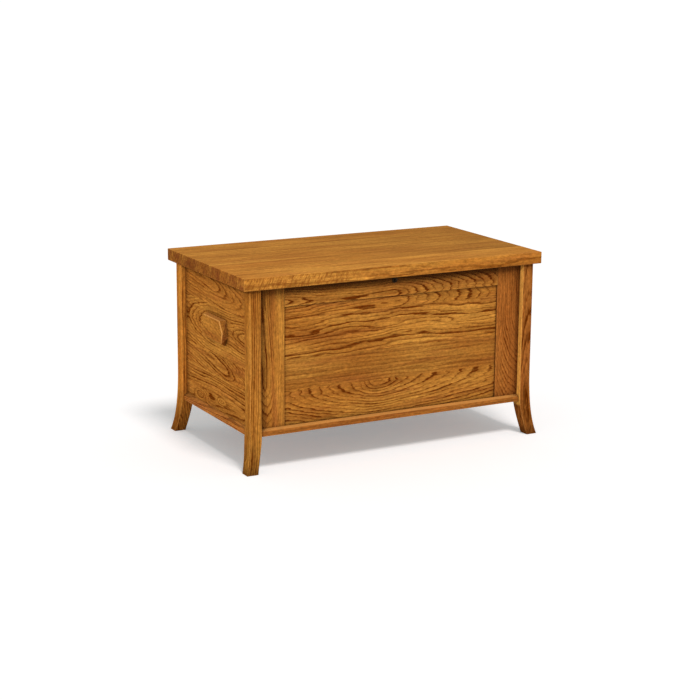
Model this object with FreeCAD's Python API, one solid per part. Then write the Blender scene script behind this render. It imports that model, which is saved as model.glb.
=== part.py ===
import FreeCAD, Part
import math
import os

# Blanket chest in oak, on four sabre feet, with a hinged lid, a chest lock and two end handles.
# Millimetres. +Z is up, the front faces -Y, and the origin is on the floor under the middle
# of the chest.

Vector = FreeCAD.Vector
X_AXIS = Vector(1, 0, 0)
Y_AXIS = Vector(0, 1, 0)
Z_AXIS = Vector(0, 0, 1)

# ---------------------------------------------------------------- driving dimensions
# Case
case_width = 936.0            # left to right, over the corner posts
case_depth = 514.0            # front to back, over the corner posts
case_height = 525.0           # floor to the top of the case, where the lid rests
case_bottom = 102.0           # floor to the lower edge of the case
post_size = 35.0              # square corner post
wall = 19.0                   # thickness of the frame members and the end panels
setback = 16.0                # front frame and end panels, behind the faces of the posts
back_setback = 2.0            # back frame, in front of the back faces of the posts
edge_round = 1.5              # rounded edges of the lid, the stiles and the rails
post_arris = 1.2              # flat along the corners of a post

# Sabre feet
foot_flare = 18.5             # how far a foot stands out past the post, both ways
flare_start = 195.0           # floor to where the outer curve of a foot begins
outer_bow = 60.0              # height of the control point of the outer curve
inner_bow = 22.0              # control point of the inner curve, under the case

# Tongue and groove between the posts and what stands between them
tongue_thickness = 6.0
tongue_length = 6.0
tongue_inset = 3.5            # tongue, behind the outer face of its wall
groove_slack = 0.6            # groove deeper than its tongue is long
joint_gap = 0.1               # each side of a tongue or a panel in its groove

# Front frame
stile_width = 80.0
top_rail_height = 60.0
bottom_rail_height = 19.0
panel_recess = 5.0            # face of the front panel, behind the front frame
panel_thickness = 9.0
panel_groove = 9.0            # depth of the groove round the front panel
panel_play = 1.5              # room for the front panel to swell, at each edge

# Back frame
back_rail_height = 60.0
back_bottom_rail_height = 45.0

# Base strips, between the posts at the foot of the front and the ends
strip_height = 20.0
strip_projection = 12.0       # proud of the wall behind it
strip_bevel = 6.5             # fall of the sloping top
strip_round = 2.5             # rounding of its outer arris

# Bottom
board_count = 5
board_thickness = 12.0
board_tongue = 4.0            # thickness and length of the tongue along each board
board_gap = 0.5               # round the bottom, and between a tongue and its groove's end
cleat_size = 18.0
cleat_lift = 2.0              # cleats, above the lower edge of the case

# Lid
lid_thickness = 35.0
lid_side_overhang = 21.0
lid_front_overhang = 12.0
lid_back_overhang = 14.0
batten_width = 45.0
batten_thickness = 14.0
batten_length = 400.0
batten_inset = 243.0          # middle of each batten, from the inner face of its end panel
batten_end_round = 8.0        # rounded lower corners at the ends of a batten

# Lid hinges
hinge_inset = 113.0           # middle of the outer hinges, from the inner faces of the posts
hinge_length = 90.0
knuckle_share = 30.0          # length of each knuckle of the case leaf
knuckle_play = 0.4            # between knuckles
barrel_radius = 5.2
hinge_neck_half = 2.9         # half thickness of the neck between lid leaf and knuckle
hinge_pin_radius = 2.5
pin_clearance = 0.05          # radial, pin in its knuckles
pin_head = 1.2                # buttons at the ends of the pin, past the barrel
barrel_standoff = 0.8         # barrel, behind the back faces of the posts
lid_clearance = 0.3           # barrel and case leaf, under the lid
leaf_thickness = 2.0
lid_leaf_width = 46.0         # from the pin towards the front
case_leaf_drop = 42.0         # down the inside of the back rail
leaf_corner = 5.0             # rounded corners of the leaves

# Lock
lock_ring_radius = 8.5
lock_ring_thickness = 1.6
lock_ring_bevel = 0.7
lock_tube_radius = 7.4
lock_plug_radius = 5.4
lock_plug_inset = 0.8         # face of the plug, inside its ring
lock_running_gap = 0.06       # plug in its tube, tube in the rail and bolt in its channel
keyway_width = 1.8
keyway_height = 7.0
keyway_depth = 10.0
lock_case_depth = 15.0
lock_case_side = 3.0          # room beyond the bolt at each end of the lock case
lock_wall = 1.5
lock_case_bevel = 1.0
lock_top_gap = 0.5            # lock case, under the lid
lock_flange = 10.0            # flanges at the two ends of the lock case
lock_hub_radius = 4.3
cam_radius = 6.0              # from the middle of the plug to the cam's pin
cam_pin_radius = 1.5
cam_thickness = 2.0
cam_square = 4.0              # square tail of the plug
cam_swing = 45.0              # degrees, each side of straight down
bolt_thickness = 2.5
bolt_play = 0.3
bolt_slot_play = 0.4          # cam pin in the slot of the bolt
bolt_bridge = 3.0             # of the bolt left above its slot
bolt_foot = 7.4               # of the bolt left below its slot
bolt_ledge = 4.6              # height of the ledge that the bolt slides on
finger_length = 8.2
finger_height = 2.9
finger_post = 2.5
eye_spacing = 21.0            # between the two eyes of the strike plate
eye_thickness = 3.0
eye_width = 7.1
eye_drop = 12.0               # below the strike plate
eye_rim = 1.9
eye_slot_play = 0.6
strike_length = 46.0
strike_width = 16.0
strike_thickness = 1.5

# End handles: the outline on the end panel, and the smaller outline of the outer face
handle_projection = 18.0
handle_top = 402.0            # floor to the top of a handle
handle_top_half = 64.5
handle_waist = 354.0          # height and half length of the widest place
handle_waist_half = 77.0
handle_bottom = 325.0
handle_bottom_half = 54.0
face_top = 400.5
face_top_half = 55.0
face_waist = 366.0
face_waist_half = 75.0
face_bottom = 334.5
face_bottom_half = 67.0
handle_arris = 2.0            # flat along the edges of the outer face
finger_recess_depth = 11.0    # from the end panel outwards
finger_recess_half = 40.0
finger_recess_top = 366.0
finger_recess_round = 7.5

# ---------------------------------------------------------------- places that follow
half_width = case_width / 2
half_depth = case_depth / 2
inner_x = half_width - post_size                    # inner faces of posts and end panels
end_outer_x = half_width - setback                  # outer faces of the end panels
front_outer_y = -half_depth + setback               # outer face of the front frame
front_inner_y = front_outer_y + wall
post_inner_y = half_depth - post_size               # faces of the posts across the ends
back_outer_y = half_depth - back_setback
back_inner_y = back_outer_y - wall
end_inner_x = end_outer_x - wall
top_rail_bottom = case_height - top_rail_height
bottom_rail_top = case_bottom + bottom_rail_height
opening_half = inner_x - stile_width                # half width between the stiles
lid_bottom = case_height
lid_top = case_height + lid_thickness
cleat_bottom = case_bottom + cleat_lift
floor_bottom = cleat_bottom + cleat_size            # underside of the bottom boards
pivot_y = half_depth + barrel_standoff + barrel_radius
pivot_z = case_height - lid_clearance - barrel_radius
hinge_spacing = inner_x - hinge_inset
hinge_places = [-hinge_spacing, 0.0, hinge_spacing]
batten_offset = end_inner_x - batten_inset
cut_over = 5.0                                      # how far a cutting tool runs past a face
same_place = 0.01                                   # closer coordinates than this are one


# ---------------------------------------------------------------- helpers
def box(x0, x1, y0, y1, z0, z1):
    """Block between two corners."""
    return Part.makeBox(x1 - x0, y1 - y0, z1 - z0, Vector(x0, y0, z0))


def rod(radius, length, start, direction):
    return Part.makeCylinder(radius, length, start, direction)


def mirrored_x(shape):
    return shape.mirror(Vector(0, 0, 0), X_AXIS)


def mirrored_y(shape):
    return shape.mirror(Vector(0, 0, 0), Y_AXIS)


def eased(shape, radius, chosen):
    """Round the straight edges that the test picks out."""
    edges = [edge for edge in shape.Edges if chosen(edge)]
    return shape.makeFillet(radius, edges)


def bevelled(shape, size, chosen):
    """Cut a flat along the edges that the test picks out."""
    return shape.makeChamfer(size, [edge for edge in shape.Edges if chosen(edge)])


def lies_at(edge, axis, value):
    """True when the whole edge lies at one coordinate of an axis."""
    return all(abs(vertex.Point[axis] - value) < same_place for vertex in edge.Vertexes)


def runs_along(edge, axis):
    first, last = edge.Vertexes[0].Point, edge.Vertexes[-1].Point
    return all(abs(first[k] - last[k]) < same_place for k in range(3) if k != axis)


# ---------------------------------------------------------------- posts with sabre feet
def leg_profile(across):
    """Side view of a post: outer side at 0, straight above and curved at the foot."""
    def at(u, z):
        return across * u + Z_AXIS * z

    outer = Part.BezierCurve()
    outer.setPoles([at(0, flare_start), at(0, outer_bow), at(-foot_flare, 0)])
    inner = Part.BezierCurve()
    inner.setPoles([
        at(post_size - foot_flare, 0), at(post_size, case_bottom - inner_bow),
        at(post_size, case_bottom)])
    edges = [
        Part.makeLine(at(0, case_height), at(0, flare_start)),
        outer.toShape(),
        Part.makeLine(at(-foot_flare, 0), at(post_size - foot_flare, 0)),
        inner.toShape(),
        Part.makeLine(at(post_size, case_bottom), at(post_size, case_height)),
        Part.makeLine(at(post_size, case_height), at(0, case_height)),
    ]
    return Part.Face(Part.Wire(edges))


def sawn_post():
    """Post at the front left corner, curved by two saw cuts at right angles."""
    front_view = leg_profile(X_AXIS)
    front_view.translate(Vector(0, -foot_flare, 0))
    side_view = leg_profile(Y_AXIS)
    side_view.translate(Vector(-foot_flare, 0, 0))
    reach = post_size + foot_flare
    post = front_view.extrude(Y_AXIS * reach).common(side_view.extrude(X_AXIS * reach))
    corners = [edge for edge in post.Edges if not runs_along(edge, 0) and not runs_along(edge, 1)]
    post = post.makeChamfer(post_arris, corners)
    post.translate(Vector(-half_width, -half_depth, 0))
    return post


def post_groove(from_outside, lengthwise):
    """Groove down the inner side of a front left post: its centre line, from the outer face."""
    depth = tongue_length + groove_slack
    half = tongue_thickness / 2 + joint_gap
    middle = from_outside + tongue_inset + tongue_thickness / 2
    if lengthwise:
        return box(-inner_x - depth, -inner_x + cut_over,
                   -half_depth + middle - half, -half_depth + middle + half,
                   case_bottom, case_height + cut_over)
    return box(-half_width + middle - half, -half_width + middle + half,
               -post_inner_y - depth, -post_inner_y + cut_over,
               case_bottom, case_height + cut_over)


def posts():
    front_left = sawn_post().cut(post_groove(setback, True)).cut(post_groove(setback, False))
    back_left = sawn_post().cut(post_groove(back_setback, True)).cut(post_groove(setback, False))
    back_left = mirrored_y(back_left)
    return {
        "post_front_left": front_left,
        "post_front_right": mirrored_x(front_left),
        "post_back_left": back_left,
        "post_back_right": mirrored_x(back_left),
    }


# ---------------------------------------------------------------- front frame
def tongue_y(outer_y, inward):
    """Front and back of the tongue of a wall, from its outer face."""
    near = outer_y + inward * tongue_inset
    far = near + inward * tongue_thickness
    return min(near, far), max(near, far)


def front_groove_y(slack):
    """Front and back of the groove that holds the front panel."""
    front = front_outer_y + panel_recess
    return front - slack, front + panel_thickness + slack


def front_stile():
    """Left stile, with its tongue in the post and the groove for panel and rails."""
    stile = box(-inner_x, -opening_half, front_outer_y, front_inner_y, case_bottom, case_height)
    stile = eased(stile, edge_round, lambda e: runs_along(e, 2)
                  and lies_at(e, 0, -opening_half) and lies_at(e, 1, front_outer_y))
    near, far = tongue_y(front_outer_y, 1)
    stile = stile.fuse(box(-inner_x - tongue_length, -inner_x, near, far, case_bottom, case_height))
    near, far = front_groove_y(joint_gap)
    groove = box(-opening_half - panel_groove, -opening_half + cut_over, near, far,
                 case_bottom - cut_over, case_height + cut_over)
    return stile.cut(groove).removeSplitter()


def front_rail(z0, z1, groove_z0, groove_z1, lower_edge):
    """Rail between the stiles, with stub tenons in their grooves."""
    rail = box(-opening_half, opening_half, front_outer_y, front_inner_y, z0, z1)
    if lower_edge:
        rail = eased(rail, edge_round, lambda e: runs_along(e, 0)
                     and lies_at(e, 2, z0) and lies_at(e, 1, front_outer_y))
    near, far = front_groove_y(0)
    reach = opening_half + panel_groove - groove_slack
    rail = rail.fuse(box(-reach, reach, near, far, z0, z1))
    near, far = front_groove_y(joint_gap)
    return rail.cut(box(-reach - cut_over, reach + cut_over, near, far, groove_z0, groove_z1))


def lock_opening():
    """Hole through the top rail for the tube of the lock."""
    start = Vector(0, front_outer_y - cut_over, lock_z)
    return rod(lock_tube_radius + lock_running_gap, wall + 2 * cut_over, start, Y_AXIS)


def front_frame():
    left = front_stile()
    top = front_rail(top_rail_bottom, case_height,
                     top_rail_bottom - cut_over, top_rail_bottom + panel_groove, True)
    top = top.cut(lock_opening())
    bottom = front_rail(case_bottom, bottom_rail_top,
                        bottom_rail_top - panel_groove, bottom_rail_top + cut_over, False)
    near, far = front_groove_y(0)
    reach = opening_half + panel_groove - panel_play
    panel = box(-reach, reach, near, far,
                bottom_rail_top - panel_groove, top_rail_bottom + panel_groove - panel_play)
    return {
        "front_stile_left": left,
        "front_stile_right": mirrored_x(left),
        "front_top_rail": top.removeSplitter(),
        "front_bottom_rail": bottom.removeSplitter(),
        "front_panel": panel,
    }


# ---------------------------------------------------------------- ends
def end_panel():
    """Left end panel, with tongues in the front and back posts."""
    panel = box(-end_outer_x, -end_inner_x, -post_inner_y, post_inner_y, case_bottom, case_height)
    near = end_outer_x - tongue_inset
    reach = post_inner_y + tongue_length
    panel = panel.fuse(box(-near, -near + tongue_thickness, -reach, reach, case_bottom, case_height))
    return panel.removeSplitter()


def strip_section(out, up, back):
    """Section of a base strip: square below, with a sloping top and a rounded arris."""
    def at(u, z):
        return back + out * u + up * z

    arris = Vector(strip_projection, strip_height - strip_bevel, 0)
    rise = (Vector(0, strip_height, 0) - arris).normalize()
    start = arris + rise * strip_round
    end = arris - Vector(0, strip_round, 0)
    half_angle = rise.getAngle(Vector(0, -1, 0)) / 2
    inward = (rise + Vector(0, -1, 0)).normalize()
    middle = arris + inward * strip_round * (1 - math.sin(half_angle)) / math.cos(half_angle)
    arc = Part.Arc(at(start.x, start.y), at(middle.x, middle.y), at(end.x, end.y))
    return Part.Face(Part.Wire([
        Part.makeLine(at(0, 0), at(0, strip_height)),
        Part.makeLine(at(0, strip_height), at(start.x, start.y)),
        arc.toShape(),
        Part.makeLine(at(end.x, end.y), at(strip_projection, 0)),
        Part.makeLine(at(strip_projection, 0), at(0, 0)),
    ]))


def base_strips():
    front = strip_section(-Y_AXIS, Z_AXIS, Vector(-inner_x, front_outer_y, case_bottom))
    left = strip_section(-X_AXIS, Z_AXIS, Vector(-end_outer_x, -post_inner_y, case_bottom))
    left = left.extrude(Y_AXIS * (2 * post_inner_y))
    return {
        "base_strip_front": front.extrude(X_AXIS * (2 * inner_x)),
        "base_strip_left": left,
        "base_strip_right": mirrored_x(left),
    }


# ---------------------------------------------------------------- back
def back_rail(z0, z1):
    """Rail between the back posts, with a tongue at each end."""
    rail = box(-inner_x, inner_x, back_inner_y, back_outer_y, z0, z1)
    near, far = tongue_y(back_outer_y, -1)
    reach = inner_x + tongue_length
    return rail.fuse(box(-reach, reach, near, far, z0, z1))


def back_frame():
    near, far = tongue_y(back_outer_y, -1)
    reach = inner_x + tongue_length
    top_z = case_height - back_rail_height
    bottom_z = case_bottom + back_bottom_rail_height
    depth = tongue_length + groove_slack
    top = back_rail(top_z, case_height)
    top = top.cut(box(-reach - cut_over, reach + cut_over, near - joint_gap, far + joint_gap,
                      top_z - cut_over, top_z + depth))
    for x in hinge_places:
        top = top.cut(case_leaf_seat(x))
    bottom = back_rail(case_bottom, bottom_z)
    bottom = bottom.cut(box(-reach - cut_over, reach + cut_over, near - joint_gap, far + joint_gap,
                            bottom_z - depth, bottom_z + cut_over))
    panel = box(-reach, reach, near, far, bottom_z - depth, top_z + tongue_length)
    return {
        "back_top_rail": top.removeSplitter(),
        "back_bottom_rail": bottom.removeSplitter(),
        "back_panel": panel,
    }


# ---------------------------------------------------------------- bottom
def cleats():
    """Ledges round the foot of the walls and a bearer across the middle."""
    z0, z1 = cleat_bottom, floor_bottom
    front_y = front_inner_y + cleat_size
    back_y = back_inner_y - cleat_size
    left = box(-end_inner_x, -end_inner_x + cleat_size, front_y, back_y, z0, z1)
    return {
        "cleat_front": box(-end_inner_x, end_inner_x, front_inner_y, front_y, z0, z1),
        "cleat_back": box(-end_inner_x, end_inner_x, back_y, back_inner_y, z0, z1),
        "cleat_left": left,
        "cleat_right": mirrored_x(left),
        "bottom_bearer": box(-cleat_size / 2, cleat_size / 2, front_y, back_y, z0, z1),
    }


def bottom_boards():
    """Boards along the chest, each with its tongue in the groove of the next."""
    y0 = front_inner_y + board_gap
    pitch = (back_inner_y - front_inner_y - 2 * board_gap) / board_count
    half = end_inner_x - board_gap
    z0, z1 = floor_bottom, floor_bottom + board_thickness
    middle = (z0 + z1) / 2
    boards = {}
    for k in range(board_count):
        near = y0 + k * pitch
        board = box(-half, half, near, near + pitch, z0, z1)
        if k < board_count - 1:
            board = board.fuse(box(-half, half, near + pitch, near + pitch + board_tongue,
                                   middle - board_tongue / 2, middle + board_tongue / 2))
        if k > 0:
            board = board.cut(box(-half - cut_over, half + cut_over,
                                  near - cut_over, near + board_tongue + board_gap,
                                  middle - board_tongue / 2 - joint_gap,
                                  middle + board_tongue / 2 + joint_gap))
        boards["bottom_board_%d" % (k + 1)] = board.removeSplitter()
    return boards


# ---------------------------------------------------------------- lid
def lid_slab():
    slab = box(-half_width - lid_side_overhang, half_width + lid_side_overhang,
               -half_depth - lid_front_overhang, half_depth + lid_back_overhang,
               lid_bottom, lid_top)
    slab = slab.makeFillet(edge_round, slab.Edges)
    for x in hinge_places:
        slab = slab.cut(lid_leaf_seat(x))
    return slab.cut(strike_seat())


def battens():
    """Cross battens that keep the lid flat, with rounded ends."""
    half = batten_length / 2
    z0 = lid_bottom - batten_thickness
    parts = {}
    for name, x in (("lid_batten_left", -batten_offset), ("lid_batten_right", batten_offset)):
        batten = box(x - batten_width / 2, x + batten_width / 2, -half, half, z0, lid_bottom)
        parts[name] = eased(batten, batten_end_round,
                            lambda e: runs_along(e, 0) and lies_at(e, 2, z0))
    return parts


# ---------------------------------------------------------------- hinges
def leaf_plate(x0, x1, across0, across1, place, across, up, thickness):
    """Plate with two rounded corners at its far end."""
    def at(x, u):
        return place + X_AXIS * x + across * u

    r = leaf_corner
    bend = r * (1 - math.sqrt(0.5))
    edges = [
        Part.makeLine(at(x0, across0), at(x1, across0)),
        Part.makeLine(at(x1, across0), at(x1, across1 - r)),
        Part.Arc(at(x1, across1 - r), at(x1 - bend, across1 - bend),
                 at(x1 - r, across1)).toShape(),
        Part.makeLine(at(x1 - r, across1), at(x0 + r, across1)),
        Part.Arc(at(x0 + r, across1), at(x0 + bend, across1 - bend),
                 at(x0, across1 - r)).toShape(),
        Part.makeLine(at(x0, across1 - r), at(x0, across0)),
    ]
    return Part.Face(Part.Wire(edges)).extrude(up * thickness)


def knuckle(x0, x1):
    """Length of hinge barrel with the bore for its pin."""
    start = Vector(x0, pivot_y, pivot_z)
    outer = rod(barrel_radius, x1 - x0, start, X_AXIS)
    return outer.cut(rod(hinge_pin_radius + pin_clearance, x1 - x0, start, X_AXIS))


def case_leaf(x):
    """Leaf over the back rail and down its inside, with the two outer knuckles."""
    half = hinge_length / 2
    top = case_height - lid_clearance
    z0 = top - leaf_thickness
    inside = back_inner_y - leaf_thickness
    cap = box(x - half, x + half, inside, pivot_y, z0, top)
    drop = leaf_plate(x - half, x + half, 0, case_leaf_drop - leaf_thickness,
                      Vector(0, inside, z0), -Z_AXIS, Y_AXIS, leaf_thickness)
    middle = half - knuckle_share + knuckle_play
    gap = box(x - middle, x + middle, pivot_y - barrel_radius - knuckle_play,
              pivot_y + barrel_radius, z0 - cut_over, top + cut_over)
    bore = rod(hinge_pin_radius + pin_clearance, hinge_length,
               Vector(x - half, pivot_y, pivot_z), X_AXIS)
    leaf = cap.fuse([drop]).cut(gap).cut(bore)
    leaf = leaf.fuse([knuckle(x - half, x - half + knuckle_share),
                      knuckle(x + half - knuckle_share, x + half)])
    return leaf.removeSplitter()


def case_leaf_seat(x):
    """Recess in the top edge of the back rail."""
    half = hinge_length / 2 + joint_gap
    return box(x - half, x + half, back_inner_y - cut_over, back_outer_y + cut_over,
               case_height - lid_clearance - leaf_thickness, case_height + cut_over)


def lid_leaf(x):
    """Leaf let into the underside of the lid, with the middle knuckle."""
    half = hinge_length / 2
    middle = half - knuckle_share - knuckle_play
    plate = leaf_plate(x - half, x + half, -hinge_neck_half, lid_leaf_width,
                       Vector(0, pivot_y, lid_bottom), -Y_AXIS, Z_AXIS, leaf_thickness)
    neck = box(x - middle, x + middle, pivot_y - hinge_neck_half, pivot_y + hinge_neck_half,
               pivot_z, lid_bottom)
    bore = rod(hinge_pin_radius + pin_clearance, 2 * middle,
               Vector(x - middle, pivot_y, pivot_z), X_AXIS)
    leaf = plate.fuse([neck.cut(bore), knuckle(x - middle, x + middle)])
    return leaf.removeSplitter()


def lid_leaf_seat(x):
    """Recess in the underside of the lid, open to the back of the case."""
    half = hinge_length / 2
    return leaf_plate(x - half - joint_gap, x + half + joint_gap,
                      -hinge_neck_half - joint_gap, lid_leaf_width + joint_gap,
                      Vector(0, pivot_y, lid_bottom - cut_over), -Y_AXIS, Z_AXIS,
                      leaf_thickness + cut_over)


def hinge_pin(x):
    """Pin with a flat button at each end."""
    half = hinge_length / 2 + pin_clearance
    pin = rod(hinge_pin_radius, 2 * half, Vector(x - half, pivot_y, pivot_z), X_AXIS)
    for side in (-1, 1):
        base = Vector(x + side * half, pivot_y, pivot_z)
        pin = pin.fuse(rod(barrel_radius, pin_head, base, X_AXIS * side))
    return pin.removeSplitter()


def hinges():
    parts = {}
    for name, x in zip(("left", "middle", "right"), hinge_places):
        parts["hinge_%s_case_leaf" % name] = case_leaf(x)
        parts["hinge_%s_lid_leaf" % name] = lid_leaf(x)
        parts["hinge_%s_pin" % name] = hinge_pin(x)
    return parts


# ---------------------------------------------------------------- lock
cam_sine = math.sin(math.radians(cam_swing))
cam_cosine = math.cos(math.radians(cam_swing))
bolt_gap = bolt_play + lock_running_gap
bolt_stroke = 2 * cam_radius * cam_sine
bolt_top = lid_bottom - eye_drop - bolt_gap
slot_half = cam_pin_radius + bolt_slot_play
lock_z = bolt_top - bolt_bridge - slot_half + cam_radius * cam_cosine
slot_bottom = lock_z - cam_radius - slot_half
bolt_bottom = slot_bottom - bolt_foot
finger_z1 = lid_bottom - eye_drop + eye_rim + bolt_play + finger_height
eye_places = [-eye_spacing / 2, eye_spacing / 2]

lock_back_y = front_inner_y + lock_case_depth       # face of the lock case inside the chest
lock_inside_y = lock_back_y - lock_wall
eye_y0 = lock_inside_y - bolt_play - eye_width      # front of the strike's eyes
eye_middle_y = eye_y0 + eye_width / 2
bolt_y0 = eye_y0 + eye_rim + bolt_play
bolt_y1 = bolt_y0 + bolt_thickness


def finger_root(eye):
    """Left side of the upright behind an eye, with the bolt drawn back."""
    return eye - eye_thickness / 2 - bolt_stroke - bolt_gap - finger_post


bolt_left = finger_root(eye_places[0])
bolt_right = finger_root(eye_places[1]) + finger_post + finger_length
lock_case_half = max(-bolt_left, bolt_right + bolt_stroke) + lock_case_side + lock_wall
lock_case_top = case_height - lock_top_gap
lock_case_bottom = bolt_bottom - lock_running_gap - bolt_ledge - lock_wall
plug_front = front_outer_y - lock_ring_thickness + lock_plug_inset
plug_back = front_inner_y + lock_wall + lock_running_gap


def lock_case():
    """Shallow case on the inside of the top rail, open towards it, slotted at the top."""
    half = lock_case_half
    inner_half = half - lock_wall
    floor_z = lock_case_bottom + lock_wall
    shell = box(-half, half, front_inner_y, lock_back_y, lock_case_bottom, lock_case_top)
    shell = bevelled(shell, lock_case_bevel, lambda e: lies_at(e, 1, lock_back_y))
    shell = shell.cut(box(-inner_half, inner_half, front_inner_y - cut_over, lock_inside_y,
                          floor_z, lock_case_top - lock_wall))
    flange_y = front_inner_y + lock_wall
    for side in (-1, 1):
        x0, x1 = sorted((side * inner_half, side * (half + lock_flange)))
        shell = shell.fuse(box(x0, x1, front_inner_y, flange_y, lock_case_bottom, lock_case_top))
    for x in eye_places:
        reach = eye_thickness / 2 + eye_slot_play
        shell = shell.cut(box(x - reach, x + reach, eye_y0 - eye_slot_play, lock_inside_y,
                              lock_case_top - 2 * lock_wall, lock_case_top + cut_over))
    rib_top = bolt_bottom + lock_wall
    channel_y0 = bolt_y0 - lock_running_gap
    channel_y1 = bolt_y1 + lock_running_gap
    ledge = box(-inner_half, inner_half, channel_y0 - lock_wall, lock_inside_y, floor_z, rib_top)
    channel = box(-inner_half, inner_half, channel_y0, channel_y1,
                  bolt_bottom - lock_running_gap, rib_top + cut_over)
    return shell.fuse(ledge.cut(channel)).removeSplitter()


def lock_tube():
    """Fixed tube through the top rail, with its ring on the front."""
    start = front_outer_y - lock_ring_thickness
    ring = rod(lock_ring_radius, lock_ring_thickness, Vector(0, start, lock_z), Y_AXIS)
    ring = bevelled(ring, lock_ring_bevel, lambda e: lies_at(e, 1, start))
    tube = rod(lock_tube_radius, wall + lock_wall, Vector(0, front_outer_y, lock_z), Y_AXIS)
    bore = rod(lock_plug_radius + lock_running_gap, wall + lock_wall + 2 * cut_over,
               Vector(0, start - cut_over, lock_z), Y_AXIS)
    return ring.fuse(tube).cut(bore).removeSplitter()


def turned(shape):
    """Lock parts at rest, swung back from straight down to the open position."""
    shape = shape.copy()
    shape.rotate(Vector(0, 0, lock_z), Y_AXIS, cam_swing)
    return shape


def plug_square(y0, y1):
    half = cam_square / 2
    return box(-half, half, y0, y1, lock_z - half, lock_z + half)


def lock_plug():
    """Plug that the key turns, with its keyway and a square tail."""
    plug = rod(lock_plug_radius, plug_back - plug_front, Vector(0, plug_front, lock_z), Y_AXIS)
    slot = box(-keyway_width / 2, keyway_width / 2, plug_front - cut_over,
               plug_front + keyway_depth, lock_z - keyway_height / 2, lock_z + keyway_height / 2)
    key_stem = rod(keyway_width, keyway_depth + cut_over,
                   Vector(0, plug_front - cut_over, lock_z + keyway_height / 4), Y_AXIS)
    plug = plug.cut(slot.fuse(key_stem))
    return turned(plug.fuse(plug_square(plug_back, plug_back + cam_thickness)).removeSplitter())


def lock_cam():
    """Arm on the square tail, with the pin that drives the bolt."""
    y0 = plug_back
    hub = rod(lock_hub_radius, cam_thickness, Vector(0, y0, lock_z), Y_AXIS)
    arm_half = cam_pin_radius + lock_wall / 2
    tip = Vector(0, y0, lock_z - cam_radius)
    arm = box(-arm_half, arm_half, y0, y0 + cam_thickness, lock_z - cam_radius, lock_z)
    end = rod(arm_half, cam_thickness, tip, Y_AXIS)
    pin = rod(cam_pin_radius, bolt_y1 - y0, tip, Y_AXIS)
    cam = hub.fuse([arm, end, pin]).cut(plug_square(y0 - cut_over, y0 + cam_thickness))
    return turned(cam.removeSplitter())


def lock_bolt():
    """Sliding bolt with two fingers that pass through the eyes of the strike plate."""
    bolt = box(bolt_left, bolt_right, bolt_y0, bolt_y1, bolt_bottom, bolt_top)
    for eye in eye_places:
        x = finger_root(eye)
        upright = box(x, x + finger_post, bolt_y0, bolt_y1, bolt_top, finger_z1)
        finger = box(x, x + finger_post + finger_length, bolt_y0, bolt_y1,
                     finger_z1 - finger_height, finger_z1)
        bolt = bolt.fuse([upright, finger])
    pin_x = -cam_radius * cam_sine
    slot = box(pin_x - slot_half, pin_x + slot_half, bolt_y0 - cut_over, bolt_y1 + cut_over,
               slot_bottom, bolt_top - bolt_bridge)
    return bolt.cut(slot).removeSplitter()


def strike_outline(play, z0, z1):
    reach = strike_length / 2 + play
    across = strike_width / 2 + play
    return box(-reach, reach, eye_middle_y - across, eye_middle_y + across, z0, z1)


def strike_seat():
    return strike_outline(joint_gap, lid_bottom - cut_over, lid_bottom + strike_thickness)


def strike_plate():
    """Plate under the front of the lid with two eyes that drop into the lock."""
    plate = strike_outline(0, lid_bottom, lid_bottom + strike_thickness)
    for x in eye_places:
        low = lid_bottom - eye_drop
        eye = box(x - eye_thickness / 2, x + eye_thickness / 2,
                  eye_y0, eye_y0 + eye_width, low, lid_bottom)
        window = box(x - eye_thickness, x + eye_thickness,
                     bolt_y0 - bolt_play, bolt_y1 + bolt_play,
                     low + eye_rim, finger_z1 + bolt_play)
        plate = plate.fuse(eye.cut(window))
    return plate.removeSplitter()


def lock():
    return {
        "lock_case": lock_case(),
        "lock_tube": lock_tube(),
        "lock_plug": lock_plug(),
        "lock_cam": lock_cam(),
        "lock_bolt": lock_bolt(),
        "lock_strike_plate": strike_plate(),
    }


# ---------------------------------------------------------------- end handles
def outline_points(x, corners):
    """Six corners across the end of the chest, from the three of the back half."""
    points = [Vector(x, half, z) for half, z in corners]
    return points + [Vector(x, -half, z) for half, z in reversed(corners)]


def closed_line(points):
    return Part.makePolygon(points + [points[0]])


def faceted_block(seat, face):
    """Solid between two outlines, whose sloping cheeks are two flats that meet in a ridge."""
    loops = [seat, face, [seat[2], seat[3], face[3], face[2]], [seat[5], seat[0], face[0], face[5]]]
    for near, far in ((0, 1), (1, 2), (5, 4), (4, 3)):
        loops.append([seat[near], seat[far], face[far]])
        loops.append([seat[near], face[far], face[near]])
    return Part.Solid(Part.Shell([Part.Face(closed_line(loop)) for loop in loops]))


def handle():
    """Solid grip on the left end, with a finger recess open at the bottom."""
    shoulder_x = -end_outer_x - handle_projection + handle_arris
    seat = outline_points(-end_outer_x, [
        (handle_top_half, handle_top),
        (handle_waist_half, handle_waist),
        (handle_bottom_half, handle_bottom)])
    face = outline_points(shoulder_x, [
        (face_top_half, face_top),
        (face_waist_half, face_waist),
        (face_bottom_half, face_bottom)])
    edge_line = closed_line(face)
    smaller = edge_line.makeOffset2D(-handle_arris, 2)
    smaller.translate(Vector(-handle_arris, 0, 0))
    grip = faceted_block(seat, face).fuse(Part.makeLoft([edge_line, smaller], True, True))
    deep_x = -end_outer_x - finger_recess_depth
    mouth = handle_bottom - cut_over
    recess = box(deep_x, -end_outer_x + cut_over, -finger_recess_half, finger_recess_half,
                 mouth, finger_recess_top)
    recess = eased(recess, finger_recess_round,
                   lambda e: lies_at(e, 0, deep_x) and not lies_at(e, 2, mouth))
    return grip.cut(recess).removeSplitter()


def handles():
    left = handle()
    return {"handle_left": left, "handle_right": mirrored_x(left)}


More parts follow.
